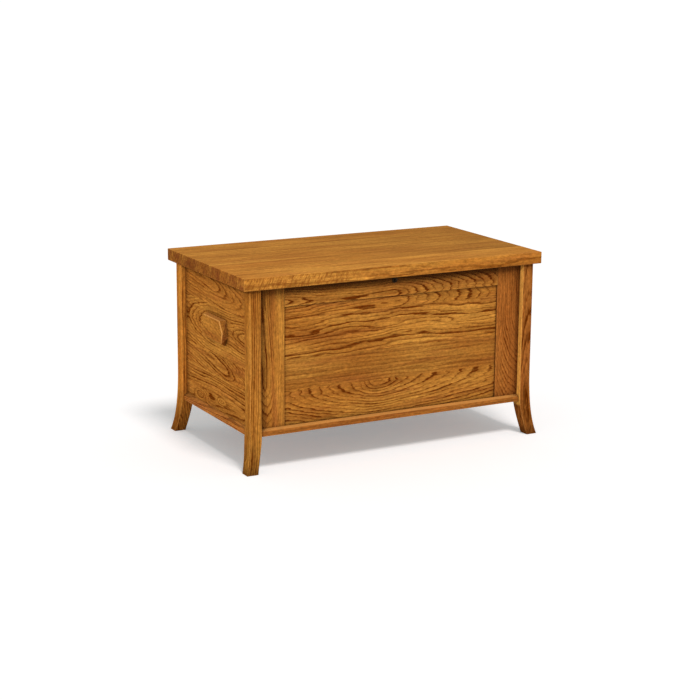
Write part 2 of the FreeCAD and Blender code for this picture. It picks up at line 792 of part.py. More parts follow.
# ---------------------------------------------------------------- assembly
def assembly():
    parts = {}
    parts.update(posts())
    parts.update(front_frame())
    panel = end_panel()
    parts["end_panel_left"] = panel
    parts["end_panel_right"] = mirrored_x(panel)
    parts.update(base_strips())
    parts.update(back_frame())
    parts.update(cleats())
    parts.update(bottom_boards())
    parts["lid_slab"] = lid_slab()
    parts.update(battens())
    parts.update(hinges())
    parts.update(lock())
    parts.update(handles())
    return parts


os.makedirs("parts", exist_ok=True)
for node, shape in assembly().items():
    shape.exportStep("parts/%s.step" % node)
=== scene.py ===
"""Looks of the blanket chest: oak, cedar and metal finishes, screw heads, floor, light and camera."""
import math

import bmesh
import bpy
from mathutils import Matrix, Vector

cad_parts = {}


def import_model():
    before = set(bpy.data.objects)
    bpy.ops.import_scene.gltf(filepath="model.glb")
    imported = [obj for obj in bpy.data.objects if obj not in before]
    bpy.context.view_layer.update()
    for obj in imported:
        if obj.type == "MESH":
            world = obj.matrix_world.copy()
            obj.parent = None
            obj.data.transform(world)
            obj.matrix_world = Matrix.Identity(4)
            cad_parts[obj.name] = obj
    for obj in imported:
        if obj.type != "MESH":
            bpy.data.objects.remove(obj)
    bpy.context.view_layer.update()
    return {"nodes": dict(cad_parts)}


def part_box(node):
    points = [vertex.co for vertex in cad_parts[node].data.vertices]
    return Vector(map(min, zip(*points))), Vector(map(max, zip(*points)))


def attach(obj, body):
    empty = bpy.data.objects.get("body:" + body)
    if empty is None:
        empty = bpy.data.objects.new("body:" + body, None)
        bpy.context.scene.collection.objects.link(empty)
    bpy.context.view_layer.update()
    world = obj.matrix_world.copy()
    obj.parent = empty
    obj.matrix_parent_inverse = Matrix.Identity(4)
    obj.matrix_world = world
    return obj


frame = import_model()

MM = 0.001
X, Y, Z = 0, 1, 2
LOW, HIGH = 0, 1
SIDES = (("left", -1), ("right", 1))    # ends of the chest, and which way along X they face
WALLS = (("front", -1), ("back", 1))    # long walls of the chest, and which way along Y they face
DOWN = (0, 0, -1)
nodes = frame["nodes"]


# ---- small tools ------------------------------------------------------------------------------

def srgb(red, green, blue):
    """A colour as a screen shows it, 0 to 255 each, turned into the linear values of a shader."""
    parts = [value / 255 for value in (red, green, blue)]
    return tuple(p / 12.92 if p < 0.04 else ((p + 0.055) / 1.055) ** 2.4 for p in parts) + (1.0,)


def end_of(node, axis, corner):
    """Where a CAD node ends along an axis, at the LOW or the HIGH corner of its box."""
    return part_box(node)[corner][axis]


def middle_of(node, axis):
    return (end_of(node, axis, LOW) + end_of(node, axis, HIGH)) / 2


def outer(sign):
    """The corner on the outside of a piece whose way out along an axis is sign, -1 or 1."""
    return HIGH if sign > 0 else LOW


def inner(sign):
    return outer(-sign)


def add_object(name, data):
    made = bpy.data.objects.new(name, data)
    bpy.context.scene.collection.objects.link(made)
    return made


class Tree:
    """A shader node tree written as expressions: each method adds nodes and returns the last one's socket."""

    def __init__(self, tree):
        self.tree = tree

    def add(self, kind, **settings):
        node = self.tree.nodes.new(kind)
        for name, value in settings.items():
            setattr(node, name, value)
        return node

    def put(self, socket, value):
        if isinstance(value, bpy.types.NodeSocket):
            self.tree.links.new(value, socket)
        else:
            socket.default_value = value

    def fill(self, node, *values):
        """Puts values into the node's inputs, in their order, and returns its first output."""
        for socket, value in zip(node.inputs, values):
            self.put(socket, value)
        return node.outputs[0]

    def math(self, operation, *values, clamp=False):
        return self.fill(self.add("ShaderNodeMath", operation=operation, use_clamp=clamp), *values)

    def plus(self, *values):
        total = values[0]
        for value in values[1:]:
            total = self.math("ADD", total, value)
        return total

    def times(self, *values):
        total = values[0]
        for value in values[1:]:
            total = self.math("MULTIPLY", total, value)
        return total

    def minus(self, a, b):
        return self.math("SUBTRACT", a, b)

    def highest(self, a, b):
        return self.math("MAXIMUM", a, b)

    def combine(self, x, y, z):
        return self.fill(self.add("ShaderNodeCombineXYZ"), x, y, z)

    def separate(self, vector):
        node = self.add("ShaderNodeSeparateXYZ")
        self.put(node.inputs[0], vector)
        return list(node.outputs)

    def noise(self, vector, stretch, detail=2.0, roughness=0.5):
        """Noise from 0 to 1 about 0.5, with its number of waves a metre in each direction."""
        scaled = self.fill(self.add("ShaderNodeVectorMath", operation="MULTIPLY"), vector, stretch)
        node = self.add("ShaderNodeTexNoise")
        for name, value in (("Vector", scaled), ("Scale", 1.0), ("Detail", detail),
                            ("Roughness", roughness)):
            self.put(node.inputs[name], value)
        return node.outputs["Fac"]

    def about(self, field, contrast, centre=1.0):
        """A noise turned into a factor about centre."""
        return self.math("MULTIPLY_ADD", field, contrast, centre - contrast / 2)

    def steps(self, value, low, high, start=0.0, end=1.0):
        """A smooth step: start up to low, end from high on."""
        node = self.add("ShaderNodeMapRange", interpolation_type="SMOOTHSTEP")
        return self.fill(node, value, low, high, start, end)

    def curve(self, value, points):
        """A value that goes straight from one (place, height) point to the next and stays level outside.
        A plain number in place of the points stays that number."""
        if isinstance(points, (int, float)):
            return points
        total = points[0][1]
        for (start, low), (end, high) in zip(points, points[1:]):
            rise = self.fill(self.add("ShaderNodeMapRange"), value, start, end, 0.0, high - low)
            total = self.plus(total, rise)
        return total

    def blend(self, share, a, b, kind="MIX"):
        """Colour a turned into colour b by share."""
        node = self.add("ShaderNodeMix", data_type="RGBA", blend_type=kind)
        self.put(node.inputs[0], share)
        self.put(node.inputs[6], a)
        self.put(node.inputs[7], b)
        return node.outputs[2]

    def brighten(self, colour, level):
        """A colour times a factor."""
        return self.blend(1.0, colour, self.combine(level, level, level), "MULTIPLY")

    def lerp(self, share, a, b):
        """Number a turned into number b by share."""
        node = self.add("ShaderNodeMix", data_type="FLOAT")
        self.put(node.inputs[0], share)
        self.put(node.inputs[2], a)
        self.put(node.inputs[3], b)
        return node.outputs[0]

    def bump(self, height, normal=None):
        """The normal, or the plain one, tilted by a height in metres."""
        node = self.add("ShaderNodeBump")
        for name, value in (("Distance", 1.0), ("Strength", 1.0), ("Height", height)):
            self.put(node.inputs[name], value)
        if normal is not None:
            self.put(node.inputs["Normal"], normal)
        return node.outputs[0]


def bare_material(name):
    material = bpy.data.materials.new(name)
    material.use_nodes = True
    material.node_tree.nodes.clear()
    return material, Tree(material.node_tree)


def new_material(name):
    material, tree = bare_material(name)
    shader = tree.add("ShaderNodeBsdfPrincipled")
    output = tree.add("ShaderNodeOutputMaterial")
    tree.put(output.inputs["Surface"], shader.outputs[0])
    return material, tree, shader


def paint(node_name, material):
    """Puts a finish on a fixed CAD node."""
    slots = nodes[node_name].material_slots
    if slots:
        for slot in slots:
            slot.link = "OBJECT"
            slot.material = material
    else:
        nodes[node_name].data.materials.append(material)


# ---- kinds of wood ----------------------------------------------------------------------------

# Noise fields: waves a metre along the grain, across it and into the board, then detail and roughness.
FEATHER = (8.0, 125.0, 125.0), 3.0, 0.65    # frays the growth rings
EACH_RING = (0.617, 1.0, 1.0), 0.0          # one value for each ring, taken at its number
PATCHY = (5.0, 30.0, 30.0), 2.0             # where the rings are bold and where they are faint
FLECKS = (15.0, 190.0, 190.0), 2.0, 0.7     # small breaks in the rings and in the tone
FIBRES = (24.0, 520.0, 520.0), 3.0, 0.65
STREAKS = (2.6, 95.0, 95.0), 3.0, 0.6
BLOTCHES = (2.6, 9.0, 9.0), 2.0             # light and middle tone
PATCHES = (3.6, 34.0, 34.0), 2.0            # warm tone, and the dark patches of end grain
PORES = (70.0, 1500.0, 1500.0), 1.0
DASHES = (80.0, 165.0, 165.0), 3.0, 0.7     # short dark and light marks

RING_FRAY = 1.15            # how far the feather noise moves a ring, in rings
BAND_START = 0.08           # share of a ring over which its dark band sets in
LEAST_BAND = 0.05           # narrowest band, as a share of its ring
TAIL = 0.35                 # darkness of the soft tail behind a band
PORE_LEVEL = 0.70           # noise above which a pore opens, and by how much less it takes in a band
PORE_EASE = 0.12

GROUP_INPUTS = (("Rings", "NodeSocketFloat"), ("Place", "NodeSocketVector"), ("Figure", "NodeSocketFloat"),
                ("Shade", "NodeSocketFloat"), ("Dark", "NodeSocketFloat"), ("End", "NodeSocketFloat"),
                ("Red", "NodeSocketFloat"), ("SapAndHighlight", "NodeSocketFloat"))
GROUP_OUTPUTS = (("Color", "NodeSocketColor"), ("Roughness", "NodeSocketFloat"),
                 ("Height", "NodeSocketFloat"))


def wood_group(name, light, mid, warm, red, streak, dark, pore, end, sap_and_highlight, porous):
    """A kind of wood from a ring count: dark bands, fibres, streaks, patches and pores, in these tones."""
    group = bpy.data.node_groups.new(name, "ShaderNodeTree")
    for way, ports in (("INPUT", GROUP_INPUTS), ("OUTPUT", GROUP_OUTPUTS)):
        for port, kind in ports:
            group.interface.new_socket(port, in_out=way, socket_type=kind)
    t = Tree(group)
    given = t.add("NodeGroupInput").outputs
    rings, place, figure, shade, dark_share, end_on, reddish, pale_share = given[:len(GROUP_INPUTS)]

    # Each ring starts with a dark band and a soft tail. Rings differ, and they are bolder in some places.
    fray = t.times(t.minus(t.noise(place, *FEATHER), 0.5), RING_FRAY)
    turn = t.math("FRACT", t.plus(rings, fray))
    uneven = t.noise(t.combine(t.math("FLOOR", rings), 0.0, 0.0), *EACH_RING)
    patchy = t.noise(place, *PATCHY)
    flecks = t.noise(place, *FLECKS)
    width = t.times(dark_share, t.steps(uneven, 0.3, 0.7, 0.6, 1.2), t.steps(patchy, 0.3, 0.7, 0.6, 1.3))
    falling = t.math("DIVIDE", turn, t.highest(width, LEAST_BAND))
    band = t.times(t.steps(falling, 0.6, 1.15, 1.0, 0.0), t.steps(turn, 0.0, BAND_START))
    tail = t.times(t.steps(falling, 0.9, 2.4, 1.0, 0.0), TAIL)
    ringed = t.times(t.highest(band, tail), t.steps(uneven, 0.3, 0.7, 0.65, 1.1),
                     t.steps(patchy, 0.25, 0.6, 0.65, 1.1), t.steps(flecks, 0.34, 0.62, 0.55, 1.15), figure)

    fibres = t.noise(place, *FIBRES)
    blotches = t.noise(place, *BLOTCHES)
    patches = t.noise(place, *PATCHES)
    pore_level = t.math("MULTIPLY_ADD", band, -PORE_EASE, PORE_LEVEL)
    pores = t.steps(t.minus(t.noise(place, *PORES), pore_level), 0.0, 0.05)

    colour = t.blend(t.steps(blotches, 0.32, 0.68), light, mid)
    colour = t.blend(t.steps(patches, 0.48, 0.78, 0.0, 0.6), colour, warm)
    colour = t.blend(reddish, colour, red)
    colour = t.blend(t.steps(t.noise(place, *STREAKS), 0.42, 0.66, 0.0, 0.5), colour, streak)
    colour = t.blend(t.math("MULTIPLY", ringed, 0.92, clamp=True), colour, dark)
    colour = t.blend(t.times(pores, porous), colour, pore)
    colour = t.blend(t.times(end_on, t.steps(patches, 0.3, 0.7, 0.3, 0.7)), colour, end)
    # pale sapwood, and on the right posts a painted highlight
    colour = t.blend(t.times(pale_share, 0.8), colour, sap_and_highlight)
    level = t.times(shade, t.about(fibres, 0.62), t.about(flecks, 1.05),
                    t.about(t.noise(place, *DASHES), 1.5, 0.995))

    out = t.add("NodeGroupOutput").inputs
    t.put(out["Color"], t.brighten(colour, level))
    t.put(out["Roughness"], t.plus(0.46, t.times(pores, 0.16), t.times(blotches, 0.10),
                                   t.times(end_on, 0.12)))
    t.put(out["Height"], t.plus(t.times(pores, -0.07 * MM), t.times(band, -0.03 * MM),
                                t.times(fibres, 0.03 * MM)))
    return group


# Oak's pale sap tone shows only on the left side faces of the right posts, where it is a painted highlight.
OAK = wood_group("stained_oak", light=srgb(200, 139, 58), mid=srgb(178, 114, 43), warm=srgb(164, 94, 42),
                 red=srgb(154, 84, 36), streak=srgb(140, 80, 30), dark=srgb(100, 44, 3),
                 pore=srgb(62, 28, 5), end=srgb(106, 54, 26), sap_and_highlight=srgb(236, 172, 80), porous=0.5)
CEDAR = wood_group("red_cedar", light=srgb(206, 146, 100), mid=srgb(188, 118, 80), warm=srgb(164, 84, 58),
                   red=srgb(156, 74, 52), streak=srgb(158, 86, 58), dark=srgb(120, 56, 38),
                   pore=srgb(128, 70, 46), end=srgb(140, 82, 54), sap_and_highlight=srgb(226, 192, 142), porous=0.2)
POPLAR = wood_group("plain_poplar", light=srgb(208, 182, 132), mid=srgb(194, 166, 114),
                    warm=srgb(180, 156, 104), red=srgb(170, 140, 92), streak=srgb(172, 144, 96),
                    dark=srgb(150, 122, 78), pore=srgb(140, 112, 72), end=srgb(150, 124, 82),
                    sap_and_highlight=srgb(220, 200, 156), porous=0.2)


# ---- boards -----------------------------------------------------------------------------------

SWING = (2.6, 5.0, 5.0), 1.0                # noise that makes the grain swing to and fro
RIPPLE = (17.0, 70.0, 70.0), 2.0            # fine and broad noise that moves the rings in and out
BROAD_RIPPLE = (6.0, 24.0, 24.0), 1.0
BROAD_SHARE = 2.5                           # how much stronger the broad one is


class Board:
    """How one board was sawn from its log. Lengths are in metres and places are in the frame.

    heart      where the pith runs across the width: a number, or (along, place) points
    deep       how far the pith lies under the face, given in the same way
    spacing    width of a growth ring
    slant      how far the grain runs across the board for each metre along it
    wave       how far the grain swings to each side; ripple does the same on a small scale, in rings
    eyes       (along, across, half length, half width, rings) of knots and swirls
    figure     contrast of the rings, dark their share of dark wood
    calm       (from, to, figure there) across the board, where the rings fade out
    sap_and_highlight  (from, to) across the board, where it turns pale: sapwood on the cedar boards, a
    painted highlight on the right posts
    shade      brightness, given in the same way as heart
    red        share of the reddish tone
    seed       moves the noise, so that no two boards show the same
    """

    def __init__(self, heart=0.0, deep=0.05, spacing=0.008, slant=0.0, wave=0.006, ripple=0.4,
                 eyes=(), figure=0.8, dark=0.4, calm=None, sap_and_highlight=None, shade=1.0, red=0.0, seed=0.0):
        self.heart, self.deep, self.spacing, self.slant = heart, deep, spacing, slant
        self.wave, self.ripple, self.eyes, self.figure, self.dark = wave, ripple, eyes, figure, dark
        self.calm, self.sap_and_highlight, self.shade, self.red, self.seed = calm, sap_and_highlight, shade, red, seed


def gauss(t, value, centre, width):
    """A bell curve of height 1."""
    off = t.times(t.minus(value, centre), 1.0 / width)
    return t.math("EXPONENT", t.times(off, off, -1.0))


def ring_count(t, along, across, depth, board):
    """Growth rings out from the pith: the cathedrals, streaks and arcs of a face come from this."""
    shifted = t.combine(t.plus(along, board.seed), across, depth)
    swing = t.times(t.minus(t.noise(shifted, *SWING), 0.5), 2 * board.wave)
    off = t.plus(t.minus(across, t.curve(along, board.heart)), t.times(along, board.slant), swing)
    down = t.plus(depth, t.curve(along, board.deep))
    radius = t.math("SQRT", t.plus(t.times(off, off), t.times(down, down)))
    count = t.times(radius, 1.0 / board.spacing)
    for x, y, half_length, half_width, rings in board.eyes:
        bulge = t.times(gauss(t, along, x, half_length), gauss(t, across, y, half_width), rings)
        count = t.plus(count, bulge)
    return t.plus(count, t.times(t.minus(t.noise(shifted, *RIPPLE), 0.5), board.ripple),
                  t.times(t.minus(t.noise(shifted, *BROAD_RIPPLE), 0.5), BROAD_SHARE * board.ripple))


def between(t, across, start, end, first, last):
    """first before start and last past end, whichever way across runs from one to the other."""
    if start < end:
        return t.steps(across, start, end, first, last)
    return t.steps(across, end, start, last, first)


def figure_of(t, across, board):
    if board.calm is None:
        return board.figure
    start, end, low = board.calm
    return between(t, across, start, end, board.figure, low)


def sap_and_highlight_of(t, across, board):
    return 0.0 if board.sap_and_highlight is None else between(t, across, *board.sap_and_highlight, 0.0, 1.0)


# ---- the finish of a wooden piece -------------------------------------------------------------

ARRIS = 1.6 * MM                            # rounding of the wooden edges
EDGE_HIGHLIGHT_REACH = 2.2 * MM                             # how far the painted highlight on the edges, which also stands for wear, reaches from them
PAINTED_SHADE_REACH = 40.0 * MM                          # how far the painted shade in the corners and under the lid reaches
# colour of the painted highlights; on the edges it also stands for wear
HIGHLIGHT_AND_WEAR_OAK = srgb(222, 158, 84)
STROKE_BROWN = srgb(136, 76, 26)
# colour of the painted shade
PAINTED_SHADE_BROWN = srgb(52, 24, 6)
BEVEL_HIGHLIGHT_RISE = (0.340, 0.365)                  # heights between which the painted highlight on a handle's bevels grows
LOW_BEVEL_HIGHLIGHT = 0.35                             # how strong it is below, against above
STROKES = (240.0, 55.0, 55.0), 3.0, 0.7     # noise of the strokes on the edge of a board
STROKE_SKEW = 0.15                          # how far they shift along for each metre across
SEED_SHIFT = 0.37                           # a seed's shift of the noise across, against that along


def rounded(t, radius):
    """The normal as it would be with rounded edges."""
    node = t.add("ShaderNodeBevel", samples=4)
    t.put(node.inputs["Radius"], radius)
    return node.outputs[0]


def flatness(t, normal):
    """1 where normal is that of the flat face."""
    node = t.add("ShaderNodeVectorMath", operation="DOT_PRODUCT")
    t.put(node.inputs[0], normal)
    t.put(node.inputs[1], t.add("ShaderNodeNewGeometry").outputs["True Normal"])
    return node.outputs["Value"]


def highlight_and_wear_share(t, across, turned_up, facing_out, wear, top_highlight, arris):
    """Painted highlight: the colour is painted lighter on the edges, where this also stands for wear, on what
    faces up and on the bevels of a handle.
    """
    # the edges: a painted highlight, which also stands for wear
    highlight_and_wear = t.steps(flatness(t, rounded(t, EDGE_HIGHLIGHT_REACH)), 0.86, 0.995, wear, 0.0)
    # what faces up is painted lighter: a painted highlight
    if top_highlight:
        highlight_and_wear = t.highest(highlight_and_wear, t.steps(turned_up, 0.75, 0.97, 0.0, top_highlight))
    # a handle's bevels: a painted highlight, stronger higher up
    if arris:
        flat = t.math("ABSOLUTE", facing_out)
        bevel = t.times(t.steps(flat, 0.62, 0.68), t.steps(flat, 0.76, 0.84, 1.0, 0.0))
        highlight_and_wear = t.highest(highlight_and_wear, t.times(bevel, t.steps(across, *BEVEL_HIGHLIGHT_RISE, LOW_BEVEL_HIGHLIGHT * arris, arris)))
    return highlight_and_wear


def painted_shade_share(t, corners, painted_shade, sap_and_highlight):
    """Painted shade: the colour is painted darker where other pieces are near. Pale sapwood and painted
    highlights get none.
    """
    node = t.add("ShaderNodeAmbientOcclusion", samples=4)
    t.put(node.inputs["Distance"], PAINTED_SHADE_REACH)
    return t.times(t.steps(node.outputs["AO"], *corners, painted_shade, 0.0), t.minus(1.0, sap_and_highlight))


def stroke_share(t, x, y, z, facing_across, strokes):
    """Short slanting strokes on the edges of a board that face across, bold at first and faint later."""
    bold_to, faint_from, lean = strokes
    slanted = t.plus(x, t.times(y, STROKE_SKEW), t.times(z, lean))
    marks = t.steps(t.noise(t.combine(slanted, y, z), *STROKES), 0.40, 0.64)
    on_edge = t.steps(t.math("ABSOLUTE", facing_across), 0.8, 0.95)
    return t.times(marks, t.times(on_edge, t.steps(x, bold_to, faint_from, 0.85, 0.05)))


def wood(node, axes, boards, joints=(), outside=0.0, kind=OAK, gloss=0.015, painted_shade=0.85,
         corners=(0.5, 0.86), wear=0.6, top_highlight=0.0, arris=0.0, strokes=None):
    """Gives a CAD node a wooden finish.

    axes       which way the grain runs, the board's width lies and its face looks
    joints     with several boards, the places across the width where one ends and the next begins
    outside    where the face is
    gloss      how much the lacquer shines
    painted_shade  how much darker the colour is painted near other pieces: painted shade in corners and under
    the lid
    corners    openness of the most shaded places and of the places where the painted shade ends; 1 is the open
    wear       how much lighter the colour is painted on the edges: a painted highlight, which also stands for wear
    top_highlight  the same for what faces up, and arris for the bevels of a handle; both are painted
    highlights
    strokes    (bold up to, faint from, lean) of dark strokes on the long edges, or None
    """
    material, t, shader = new_material(f"{node}_{kind.name}")
    coordinates = t.add("ShaderNodeTexCoord")
    place = t.separate(coordinates.outputs["Object"])
    turned = t.separate(coordinates.outputs["Normal"])
    along, across, face = axes
    x, y, z = place[along], place[across], place[face]
    depth = t.math("ABSOLUTE", t.minus(z, outside))

    def pick(values):
        """The value of the board that a point is in."""
        chosen = values[0]
        for joint, value in zip(joints, values[1:]):
            chosen = t.lerp(t.math("GREATER_THAN", y, joint), chosen, value)
        return chosen

    seed = pick([board.seed for board in boards])
    sap_and_highlight = pick([sap_and_highlight_of(t, y, board) for board in boards])
    group = t.add("ShaderNodeGroup")
    group.node_tree = kind
    for port, value in (
            ("Rings", pick([ring_count(t, x, y, depth, board) for board in boards])),
            ("Place", t.combine(t.plus(x, seed), t.plus(y, t.times(seed, SEED_SHIFT)), depth)),
            ("Figure", pick([figure_of(t, y, board) for board in boards])),
            ("Shade", pick([t.curve(x, board.shade) for board in boards])),
            ("Dark", pick([board.dark for board in boards])),
            ("Red", pick([board.red for board in boards])),
            ("SapAndHighlight", sap_and_highlight),
            ("End", t.steps(t.math("ABSOLUTE", turned[along]), 0.6, 0.9))):
        t.put(group.inputs[port], value)

    colour = group.outputs["Color"]
    if strokes is not None:
        colour = t.blend(stroke_share(t, x, y, z, turned[across], strokes), colour, STROKE_BROWN)
    if kind is OAK:
        # painted highlights on the edges, which also stand for wear, on what faces up and on a handle's
        # bevels
        highlight_and_wear = highlight_and_wear_share(t, y, turned[Z], turned[face], wear, top_highlight, arris)
        colour = t.blend(highlight_and_wear, colour, HIGHLIGHT_AND_WEAR_OAK)
    # painted shade near other pieces: in corners, under the lid and near the floor
    colour = t.blend(painted_shade_share(t, corners, painted_shade, sap_and_highlight), colour, PAINTED_SHADE_BROWN)
    t.put(shader.inputs["Base Color"], colour)
    t.put(shader.inputs["Roughness"], group.outputs["Roughness"])
    t.put(shader.inputs["Normal"], t.bump(group.outputs["Height"], rounded(t, ARRIS)))
    shader.inputs["Specular IOR Level"].default_value = gloss
    paint(node, material)


# ---- wooden pieces ----------------------------------------------------------------------------

# Brightness of each board of the lid at its left and its right, from front to back.
LID_LIGHT = ((1.18, 1.09), (1.13, 0.72), (1.03, 0.76), (0.96, 0.74), (1.00, 0.78))
LID_LIGHT_REACH = 0.45                      # from the middle to the places where that holds
LID_JOINTS = (-0.16, -0.05, 0.06, 0.17)
LID = [Board(heart=-0.6 + 0.15 * k, deep=0.10, spacing=0.011, figure=0.72, dark=0.5, wave=0.01,
             shade=((-LID_LIGHT_REACH, left), (LID_LIGHT_REACH, right)), seed=3.1 * k)
       for k, (left, right) in enumerate(LID_LIGHT)]

PANEL_JOINTS = (0.222, 0.312, 0.432)
PANEL = [       # from the bottom up
    Board(heart=0.219, spacing=0.0076, slant=0.01, wave=0.006, ripple=0.45, figure=1.15, dark=0.34,
          deep=((-0.34, 0.085), (-0.11, 0.030), (-0.06, 0.006), (-0.04, 0.006), (0.02, 0.028),
                (0.35, 0.080)), shade=0.94, seed=1.7),
    Board(heart=0.02, deep=0.10, spacing=0.011, figure=0.46, dark=0.5, shade=0.84, red=0.1, seed=5.2,
          eyes=((0.22, 0.275, 0.09, 0.012, 0.5),)),
    Board(heart=((-0.34, 0.236), (0.02, 0.262), (0.34, 0.246)), deep=0.05, spacing=0.0108, wave=0.014,
          ripple=0.9, figure=1.0, dark=0.52, seed=9.3,
          eyes=((-0.27, 0.377, 0.06, 0.010, 1.1), (-0.02, 0.380, 0.06, 0.009, 0.9),
                (0.20, 0.372, 0.06, 0.008, 1.1))),
    Board(heart=((-0.34, 0.415), (0.02, 0.452)), deep=((-0.34, 0.008), (0.02, 0.015), (0.36, 0.080)),
          spacing=0.0066, wave=0.006, figure=1.1, dark=0.34, shade=((-0.10, 1.06), (0.05, 0.95)), seed=13.6,
          eyes=((-0.28, 0.447, 0.05, 0.010, 1.0), (-0.03, 0.447, 0.03, 0.007, 1.2))),
]

TOP_RAIL = Board(heart=((-0.36, 0.478), (-0.25, 0.478), (-0.10, 0.468), (0.0, 0.474)),
                 deep=((-0.36, 0.008), (-0.25, 0.022), (0.0, 0.015), (0.40, 0.095)), spacing=0.0058,
                 wave=0.003, ripple=0.35, figure=1.2, dark=0.37, shade=1.02, red=0.13, seed=2.2)
BOTTOM_RAIL = Board(heart=0.20, figure=0.5, seed=4.4)
STILES = {
    "left": Board(heart=-0.399, deep=((0.10, 0.048), (0.24, 0.016)), spacing=0.0055, slant=0.06,
                  wave=0.003, ripple=0.3, figure=1.15, dark=0.48, calm=(-0.398, -0.386, 0.25), seed=6.1),
    "right": Board(heart=0.455, deep=((0.05, 0.150), (0.36, 0.030), (0.52, 0.006)), spacing=0.0062,
                   wave=0.004, ripple=0.3, figure=0.98, dark=0.42, calm=(0.392, 0.368, 0.45), shade=1.02,
                   red=0.65, seed=7.4),
}
FRONT_STRIP = Board(heart=0.18, figure=0.6, shade=0.84, red=0.6, seed=12.3)

END_JOINTS = (0.225, 0.287, 0.43)
POST_FACE = 0.257                           # from the middle to the outer faces of the posts
POST_LIGHT = {("front", "left"): 1.05, ("front", "right"): 0.92,
              ("back", "left"): 1.45, ("back", "right"): 0.98}
FOOT_LIGHT = 0.56                           # brightness of a foot at the floor
FOOT_LIGHT_TOP = 0.17                       # height where it has become that of the post


def end_boards(sign):
    """The boards of an end panel, from the bottom up. Those of the two ends differ in their seeds."""
    return [
        Board(heart=0.150, deep=((-0.20, 0.035), (0.05, 0.022), (0.20, 0.030)), spacing=0.0072,
              figure=1.15, dark=0.42, red=0.15, seed=7.7 + sign,
              eyes=((0.12, 0.142, 0.045, 0.014, 3.4), (-0.027, 0.153, 0.020, 0.007, 2.2))),
        Board(heart=0.262, deep=((-0.20, 0.045), (-0.05, 0.010)), slant=-0.16, figure=1.0, dark=0.42,
              shade=1.02, red=0.2, seed=8.9 + sign, eyes=((-0.17, 0.262, 0.03, 0.008, 1.5),)),
        Board(heart=0.372, deep=((-0.20, 0.006), (-0.09, 0.026), (0.05, 0.026), (0.20, 0.066)),
              spacing=0.0072, figure=0.9, dark=0.36, shade=1.03, red=0.1, seed=1.3 + sign),
        Board(heart=0.485, deep=((-0.20, 0.050), (0.02, 0.010)), spacing=0.0085, slant=-0.14,
              figure=0.78, shade=1.03, red=0.2, seed=2.9 + sign),
    ]


def post_board(wall, way, side, sign):
    """A left post shows quiet straight grain. A right one is reddish, and its left side face is painted pale:
    a painted highlight.
    """
    shade = ((0.0, FOOT_LIGHT), (FOOT_LIGHT_TOP, POST_LIGHT[wall, side]))
    seed = 11.0 + sign + way
    if side == "left":
        return Board(heart=-0.60, deep=0.13, spacing=0.0052, dark=0.45, shade=shade, seed=seed)
    # its left side face is painted pale: a painted highlight
    return Board(heart=0.458, deep=((0.0, 0.008), (0.52, 0.050)), spacing=0.0062, wave=0.004, ripple=0.3,
                 figure=1.0, dark=0.42, sap_and_highlight=(0.4345, 0.4335), shade=shade, red=0.7, seed=seed)


def paint_lid():
    # The top of the lid is painted a little lighter: a painted highlight.
    wood("lid_slab", (X, Y, Z), LID, LID_JOINTS, end_of("lid_slab", Z, HIGH), gloss=0.0, top_highlight=0.18,
         strokes=(-0.22, -0.04, -0.5))
    for side, seed in (("left", 33.0), ("right", 39.0)):
        name = f"lid_batten_{side}"
        cut = Board(heart=end_of(name, X, LOW), deep=0.01, spacing=0.006, figure=0.55, shade=0.95, seed=seed)
        wood(name, (Y, X, Z), [cut], outside=end_of(name, Z, LOW))


def paint_front():
    axes = (X, Z, Y)
    outside = end_of("front_top_rail", Y, LOW)
    wood("front_panel", axes, PANEL, PANEL_JOINTS, end_of("front_panel", Y, LOW))
    # The top rail gets the strongest painted shade: the band under the lid.
    wood("front_top_rail", axes, [TOP_RAIL], outside=outside, painted_shade=0.9, corners=(0.74, 0.90))
    wood("front_bottom_rail", axes, [BOTTOM_RAIL], outside=outside)
    for side, stile in STILES.items():
        wood(f"front_stile_{side}", (Z, X, Y), [stile], outside=outside, corners=(0.70, 0.84))
    # The top of the front strip is painted lighter: a painted highlight.
    wood("base_strip_front", axes, [FRONT_STRIP], outside=end_of("base_strip_front", Y, LOW), top_highlight=0.75)


def paint_back():
    for name in ("back_top_rail", "back_bottom_rail", "back_panel"):
        cut = Board(heart=0.3, deep=((0.0, 0.01), (0.4, 0.05)), figure=0.6, seed=float(len(name)))
        wood(name, (X, Z, Y), [cut], outside=end_of(name, Y, HIGH))


def paint_end(side, sign):
    panel, handle, strip = f"end_panel_{side}", f"handle_{side}", f"base_strip_{side}"
    axes = (Y, Z, X)
    outside = end_of(panel, X, outer(sign))
    wood(panel, axes, end_boards(sign), END_JOINTS, outside, gloss=0.0, painted_shade=0.75, corners=(0.62, 0.86))
    cut = Board(heart=0.30, spacing=0.009, slant=-0.40, figure=0.6, dark=0.3, shade=0.98, red=0.12,
                seed=5.5 + sign)
    # The handle gets painted highlights on its edges, its top and its bevels, and little painted shade.
    wood(handle, axes, [cut], outside=outside, gloss=0.0, painted_shade=0.2, wear=1.0, top_highlight=0.6, arris=0.95)
    cut = Board(heart=0.18, deep=0.02, spacing=0.005, slant=0.03, figure=1.0, shade=1.17, red=0.5,
                seed=3.3 + sign)
    wood(strip, axes, [cut], outside=end_of(strip, X, outer(sign)), top_highlight=0.3)
    for wall, way in WALLS:
        wood(f"post_{wall}_{side}", (Z, X, Y), [post_board(wall, way, side, sign)],
             outside=way * POST_FACE, gloss=0.0, painted_shade=0.6 if wall == "front" else 0.15,
             corners=(0.68, 0.84))


